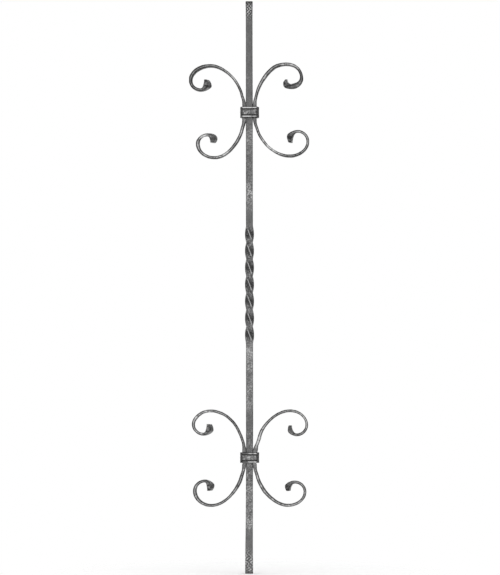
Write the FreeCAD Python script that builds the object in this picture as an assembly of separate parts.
import FreeCAD, Part
import os
from collections import namedtuple

# A forged iron stair baluster: one square bar with a twist in its middle, and two pairs of C-scrolls,
# each pair bound to the bar by a moulded collar. Millimetres. The origin is the centre of the bar's
# lower end, +Z runs up the bar and the front faces -Y.

Vector = FreeCAD.Vector

# Bar: square iron with softened edges
BAR_SIDE = 12.0
BAR_LENGTH = 1000.0
BAR_EDGE_RADIUS = 1.5
BAR_END_RADIUS = 1.0

# Twist: centred on the bar, left-handed, in whole quarter turns so the bar is square to the front above it
TWIST_LENGTH = 206.0
TWIST_QUARTERS = 7

# Collars: a moulded strip bent round the bar and two stems, its ends butted at the back
UPPER_COLLAR_FROM_TOP = 195.5
LOWER_COLLAR_FROM_BOTTOM = 200.0
COLLAR_HEIGHT = 20.0
COLLAR_WALL = 3.1           # at the grooves
COLLAR_BEAD_RADIUS = 1.9
COLLAR_GROOVE_WIDTH = 1.4
COLLAR_BAND_STEP = 1.5      # band's edge above the groove
COLLAR_BAND_SWELL = 0.6     # band's middle above its edge
COLLAR_CORNER_RADIUS = 1.0  # inside the bend
COLLAR_CLEARANCE = 0.15     # to the iron it wraps
COLLAR_SEAM = 0.8
COLLAR_FRONT = 24.8         # flat front between the collar's corners, which are hammered down
COLLAR_SLANT = 0.4          # how far each corner's flat spreads out for every millimetre back

# Scrolls: flat iron bent on edge, held against the bar's two sides
STRIP_THICKNESS = 5.0
STRIP_DEPTH = 12.0
STRIP_EDGE_RADIUS = 1.2
UPPER_SCROLL_LIFT = 2.7     # a scroll's middle above its collar's middle
LOWER_SCROLL_LIFT = -0.2

# Shape that every curl shares, measured on the strip's outer edge
EYE_DROP = 19.7             # outermost point of a curl to its foot, the turn nearest the scroll's middle
FOOT_INSET = 20.3           # outermost point back to the foot
TIP_SIDE_RISE = 10.2        # foot to the tip's widest place
TIP_LEAN = 1.0              # how far the tip's end leans back into the eye
TIP_ROUNDING = 0.6          # share of the skew that the tip's bar side leans back besides
TIP_THICKNESS = 4.0         # the spread end is hammered thinner than the strip

# How full each quarter of a curl is: the handle of a cubic curve, as a share of the quarter's own size
STEM_FULLNESS = 0.4
CROWN_FULLNESS = 0.53
ROUND_FULLNESS = 0.5523     # gives a quarter of an ellipse
TIP_FULLNESS = 0.46
CROOK_FULLNESS = 0.58       # inner edge, where the strip thickens towards the tip

# Each curl was bent by hand and has its own reach from the bar's axis and rise from the scroll's middle,
# its own crown from the bar's axis, height and width of its eye, width of its skewed tip, and rise of the
# tip's end from the foot; where the skew begins before the foot, it shifts the foot's skewed edge as well
Curl = namedtuple("Curl", "reach rise crown eye_rise eye_width tip_width tip_rise foot_skew", defaults=[0.0])
UPPER_LEFT_TOP = Curl(
    reach=106.0, rise=82.1, crown=68.8, eye_rise=54.1, eye_width=39.3, tip_width=11.6, tip_rise=20.6)
UPPER_LEFT_BOTTOM = Curl(
    reach=93.4, rise=84.9, crown=61.0, eye_rise=57.9, eye_width=37.0, tip_width=10.9, tip_rise=18.0,
    foot_skew=2.4)
UPPER_RIGHT_TOP = Curl(
    reach=94.0, rise=85.2, crown=61.2, eye_rise=57.5, eye_width=35.9, tip_width=7.4, tip_rise=17.4,
    foot_skew=4.0)
UPPER_RIGHT_BOTTOM = Curl(
    reach=104.7, rise=82.4, crown=70.3, eye_rise=54.4, eye_width=39.1, tip_width=8.7, tip_rise=21.6,
    foot_skew=-1.7)
LOWER_LEFT_TOP = Curl(
    reach=100.2, rise=84.5, crown=63.7, eye_rise=58.3, eye_width=37.5, tip_width=10.6, tip_rise=20.5,
    foot_skew=0.8)
LOWER_LEFT_BOTTOM = Curl(
    reach=97.8, rise=84.7, crown=66.3, eye_rise=57.0, eye_width=36.6, tip_width=11.0, tip_rise=19.4)
LOWER_RIGHT_TOP = Curl(
    reach=102.1, rise=84.7, crown=70.7, eye_rise=57.6, eye_width=35.3, tip_width=5.8, tip_rise=19.0)
LOWER_RIGHT_BOTTOM = Curl(
    reach=99.0, rise=84.3, crown=67.0, eye_rise=58.2, eye_width=37.4, tip_width=8.9, tip_rise=18.3,
    foot_skew=1.1)

# Heights that follow from the sizes above
UPPER_COLLAR_Z = BAR_LENGTH - UPPER_COLLAR_FROM_TOP
LOWER_COLLAR_Z = LOWER_COLLAR_FROM_BOTTOM
TWIST_LOW = (BAR_LENGTH - TWIST_LENGTH) / 2
TWIST_HIGH = TWIST_LOW + TWIST_LENGTH


def rounded_corners(width, depth, radius, z):
    """The four quarter-circle corners of a rectangle about the Z axis, counter-clockwise from +X +Y."""
    corners = []
    for quarter, (side_x, side_y) in enumerate([(1, 1), (-1, 1), (-1, -1), (1, -1)]):
        centre = Vector(side_x * (width / 2 - radius), side_y * (depth / 2 - radius), z)
        corners.append(Part.makeCircle(radius, centre, Vector(0, 0, 1), 90 * quarter, 90 * (quarter + 1)))
    return corners


def joined(curves):
    """The curves in order, with a straight line from the end of each to the start of the next."""
    edges = curves[:1]
    for curve in curves[1:]:
        edges.append(Part.makeLine(edges[-1].lastVertex().Point, curve.firstVertex().Point))
        edges.append(curve)
    return edges


def bar_section(z):
    """The bar's square section with softened edges, as a closed wire."""
    corners = rounded_corners(BAR_SIDE, BAR_SIDE, BAR_EDGE_RADIUS, z)
    edges = joined(corners)
    edges.append(Part.makeLine(corners[-1].lastVertex().Point, corners[0].firstVertex().Point))
    return Part.Wire(edges)


def straight_run(low, high):
    """A plain length of the bar between two heights."""
    return Part.Face(bar_section(low)).extrude(Vector(0, 0, high - low))


def twisted_run(low, high):
    """The twisted length: the square section turned steadily about the bar's axis as it rises."""
    pitch = (high - low) * 4 / TWIST_QUARTERS
    guide = Part.makeHelix(pitch, high - low, BAR_SIDE, 0, True)
    guide.translate(Vector(0, 0, low))
    spine = Part.Wire(Part.makeLine(Vector(0, 0, low), Vector(0, 0, high)))
    sweep = Part.BRepOffsetAPI.MakePipeShell(spine)
    sweep.setAuxiliarySpine(Part.Wire(guide.Edges), True, 0)
    sweep.add(bar_section(low))
    sweep.build()
    sweep.makeSolid()
    return sweep.shape()


def make_bar():
    """The whole bar: plain, twisted, plain, with the arrises of both ends taken off."""
    runs = []
    for low, high, end_z in [(0, TWIST_LOW, 0), (TWIST_HIGH, BAR_LENGTH, BAR_LENGTH)]:
        run = straight_run(low, high)
        rim = [edge for edge in run.Edges if all(abs(v.Z - end_z) < 1e-6 for v in edge.Vertexes)]
        runs.append(run.makeFillet(BAR_END_RADIUS, rim))
    return runs[0].fuse([twisted_run(TWIST_LOW, TWIST_HIGH), runs[1]])


def quarter_turn(start, end, leaves_upright, start_fullness, end_fullness):
    """Poles of a cubic quarter turn between two (u, v) points, square to the axes at both."""
    reach = end[0] - start[0]
    rise = end[1] - start[1]
    if leaves_upright:
        leaving = (start[0], start[1] + start_fullness * rise)
        arriving = (end[0] - end_fullness * reach, end[1])
    else:
        leaving = (start[0] + start_fullness * reach, start[1])
        arriving = (end[0], end[1] - end_fullness * rise)
    return [start, leaving, arriving, end]


def curl_outline(curl, stem_v, skewed):
    """One curl's outline as pole lists, from the stem's bar side round the tip to the stem's far side.

    u runs out from the bar's axis and v runs away from the scroll's middle. The strip starts to bend at
    stem_v, and the inner edge follows the outer one a strip's thickness inside it. On the skewed face the
    tip lies further into the eye, and on the other its end leans back towards that.
    """
    skew = curl.tip_width - TIP_THICKNESS
    tip_inset = skew if skewed else 0.0
    tip_lean = TIP_LEAN if skewed else TIP_LEAN + TIP_ROUNDING * skew
    foot_v = curl.eye_rise - EYE_DROP
    tip_v = foot_v + curl.tip_rise
    if skewed:
        foot_v += curl.foot_skew
    edges = []
    for inset in (0.0, STRIP_THICKNESS):
        stem = (BAR_SIDE / 2 + inset, stem_v)
        crown = (curl.crown, curl.rise - inset)
        outermost = (curl.reach - inset, curl.eye_rise)
        foot = (curl.reach - FOOT_INSET, foot_v + inset)
        edges.append([
            quarter_turn(stem, crown, True, STEM_FULLNESS, CROWN_FULLNESS),
            quarter_turn(crown, outermost, False, ROUND_FULLNESS, ROUND_FULLNESS),
            quarter_turn(outermost, foot, True, ROUND_FULLNESS, ROUND_FULLNESS),
        ])
    outer, inner = edges
    tip_u = curl.reach - curl.eye_width + tip_inset
    tip_side = (tip_u, foot_v + TIP_SIDE_RISE)
    tip_bend = (tip_u, (tip_side[1] + tip_v) / 2)
    outer_corner = (tip_u + tip_lean, tip_v)
    inner_corner = (outer_corner[0] + TIP_THICKNESS, tip_v)
    outer.append(quarter_turn(outer[-1][-1], tip_side, False, TIP_FULLNESS, TIP_FULLNESS))
    outer.append([tip_side, tip_bend, outer_corner])
    inner.append(quarter_turn(inner[-1][-1], inner_corner, False, CROOK_FULLNESS, CROOK_FULLNESS))
    return outer + [[outer_corner, inner_corner]] + turned_back(inner)


def turned_back(path):
    """The same path of pole lists, walked from its end to its start."""
    return [poles[::-1] for poles in path[::-1]]


def edge_along(poles):
    """A straight line for two poles, a smooth curve for more."""
    if len(poles) == 2:
        return Part.makeLine(*poles)
    curve = Part.BezierCurve()
    curve.setPoles(poles)
    return curve.toShape()


def scroll_outline(side, collar_z, lift, top, bottom, depth, skewed):
    """A whole C-scroll's closed outline in the plane at one depth, straight where its collar holds it."""
    paths = []
    for way, curl in [(1, top), (-1, bottom)]:
        stem_v = COLLAR_HEIGHT / 2 - way * lift
        path = []
        for poles in curl_outline(curl, stem_v, skewed):
            path.append([Vector(side * u, depth, collar_z + lift + way * v) for u, v in poles])
        paths.append(path)
    upper = paths[0]
    lower = turned_back(paths[1])
    far_side = [upper[-1][-1], lower[0][0]]
    bar_side = [lower[-1][-1], upper[0][0]]
    return Part.Wire([edge_along(poles) for poles in upper + [far_side] + lower + [bar_side]])


def make_scroll(side, collar_z, lift, top, bottom):
    """A whole C-scroll: the iron between its front outline and its back outline.

    All four scrolls are bent alike and laid back to back, so the skewed tips of a left one have their
    front edge in the eye, and those of a right one their back edge.
    """
    front = scroll_outline(side, collar_z, lift, top, bottom, -STRIP_DEPTH / 2, side < 0)
    back = scroll_outline(side, collar_z, lift, top, bottom, STRIP_DEPTH / 2, side > 0)
    iron = Part.makeLoft([front, back], True, True)
    rims = [edge for edge in iron.Edges if edge.BoundBox.YLength < 1e-6]
    return iron.makeFillet(STRIP_EDGE_RADIUS, rims)


def collar_profile(start):
    """The moulded section of a collar's strip, standing on its flat inner face at the start of the wrap.

    From the top: a half-round bead, a groove, a swelling band, a groove and a half-round bead.
    """
    half = COLLAR_HEIGHT / 2
    bead_v = half - COLLAR_BEAD_RADIUS
    groove_v = half - 2 * COLLAR_BEAD_RADIUS
    band_v = groove_v - COLLAR_GROOVE_WIDTH
    bead_out = COLLAR_WALL + COLLAR_BEAD_RADIUS
    band_out = COLLAR_WALL + COLLAR_BAND_STEP
    outline = [
        [(0, -half), (0, half)],
        [(0, half), (COLLAR_WALL, half)],
        [(COLLAR_WALL, half), (bead_out, bead_v), (COLLAR_WALL, groove_v)],
        [(COLLAR_WALL, groove_v), (COLLAR_WALL, band_v)],
        [(COLLAR_WALL, band_v), (band_out, band_v)],
        [(band_out, band_v), (band_out + COLLAR_BAND_SWELL, 0), (band_out, -band_v)],
        [(band_out, -band_v), (COLLAR_WALL, -band_v)],
        [(COLLAR_WALL, -band_v), (COLLAR_WALL, -groove_v)],
        [(COLLAR_WALL, -groove_v), (bead_out, -bead_v), (COLLAR_WALL, -half)],
        [(COLLAR_WALL, -half), (0, -half)],
    ]
    edges = []
    for points in outline:
        places = [start + Vector(0, out, v) for out, v in points]
        edges.append(Part.makeLine(*places) if len(places) == 2 else Part.Arc(*places).toShape())
    return Part.Wire(edges)


def make_collar(middle_z):
    """A collar: its moulded section carried round the bar and the two stems, from seam to seam."""
    width = BAR_SIDE + 2 * STRIP_THICKNESS + 2 * COLLAR_CLEARANCE
    depth = max(BAR_SIDE, STRIP_DEPTH) + 2 * COLLAR_CLEARANCE
    corners = rounded_corners(width, depth, COLLAR_CORNER_RADIUS, middle_z)
    corners = corners[1:] + corners[:1]
    start = Vector(-COLLAR_SEAM / 2, depth / 2, middle_z)
    end = Vector(COLLAR_SEAM / 2, depth / 2, middle_z)
    wrap = [Part.makeLine(start, corners[0].firstVertex().Point)]
    wrap += joined(corners)
    wrap.append(Part.makeLine(corners[-1].lastVertex().Point, end))
    moulding = Part.Wire(wrap).makePipeShell([collar_profile(start)], True, False)
    return moulding.common(corner_flats(depth / 2 + COLLAR_WALL + COLLAR_BEAD_RADIUS, middle_z))


def corner_flats(front_y, middle_z):
    """The space inside the four flats of a collar's corners, a little deeper than the collar itself."""
    beyond = 1.0
    side_x = COLLAR_FRONT / 2 + COLLAR_SLANT * front_y
    front_x = COLLAR_FRONT / 2 - COLLAR_SLANT * beyond
    deep = front_y + beyond
    plan = [(side_x, 0), (front_x, deep), (-front_x, deep), (-side_x, 0), (-front_x, -deep), (front_x, -deep)]
    low_z = middle_z - COLLAR_HEIGHT / 2 - beyond
    corners = [Vector(x, y, low_z) for x, y in plan + plan[:1]]
    return Part.Face(Part.makePolygon(corners)).extrude(Vector(0, 0, COLLAR_HEIGHT + 2 * beyond))


def make_scroll_pair(place, collar_z, lift, left_curls, right_curls):
    """The scrolls on the bar's two sides and the collar that binds them, by their names."""
    return {
        place + "_left_scroll": make_scroll(-1, collar_z, lift, *left_curls),
        place + "_right_scroll": make_scroll(1, collar_z, lift, *right_curls),
        place + "_collar": make_collar(collar_z),
    }


pieces = {"bar": make_bar()}
pieces.update(make_scroll_pair("upper", UPPER_COLLAR_Z, UPPER_SCROLL_LIFT,
                               [UPPER_LEFT_TOP, UPPER_LEFT_BOTTOM], [UPPER_RIGHT_TOP, UPPER_RIGHT_BOTTOM]))
pieces.update(make_scroll_pair("lower", LOWER_COLLAR_Z, LOWER_SCROLL_LIFT,
                               [LOWER_LEFT_TOP, LOWER_LEFT_BOTTOM], [LOWER_RIGHT_TOP, LOWER_RIGHT_BOTTOM]))
os.makedirs("parts", exist_ok=True)
for name, shape in pieces.items():
    shape.exportStep("parts/" + name + ".step")
    box = shape.BoundBox
    print(name, len(shape.Solids), "solid, valid", shape.isValid(), "volume", round(shape.Volume),
          "x", round(box.XMin, 1), round(box.XMax, 1), "z", round(box.ZMin, 1), round(box.ZMax, 1))
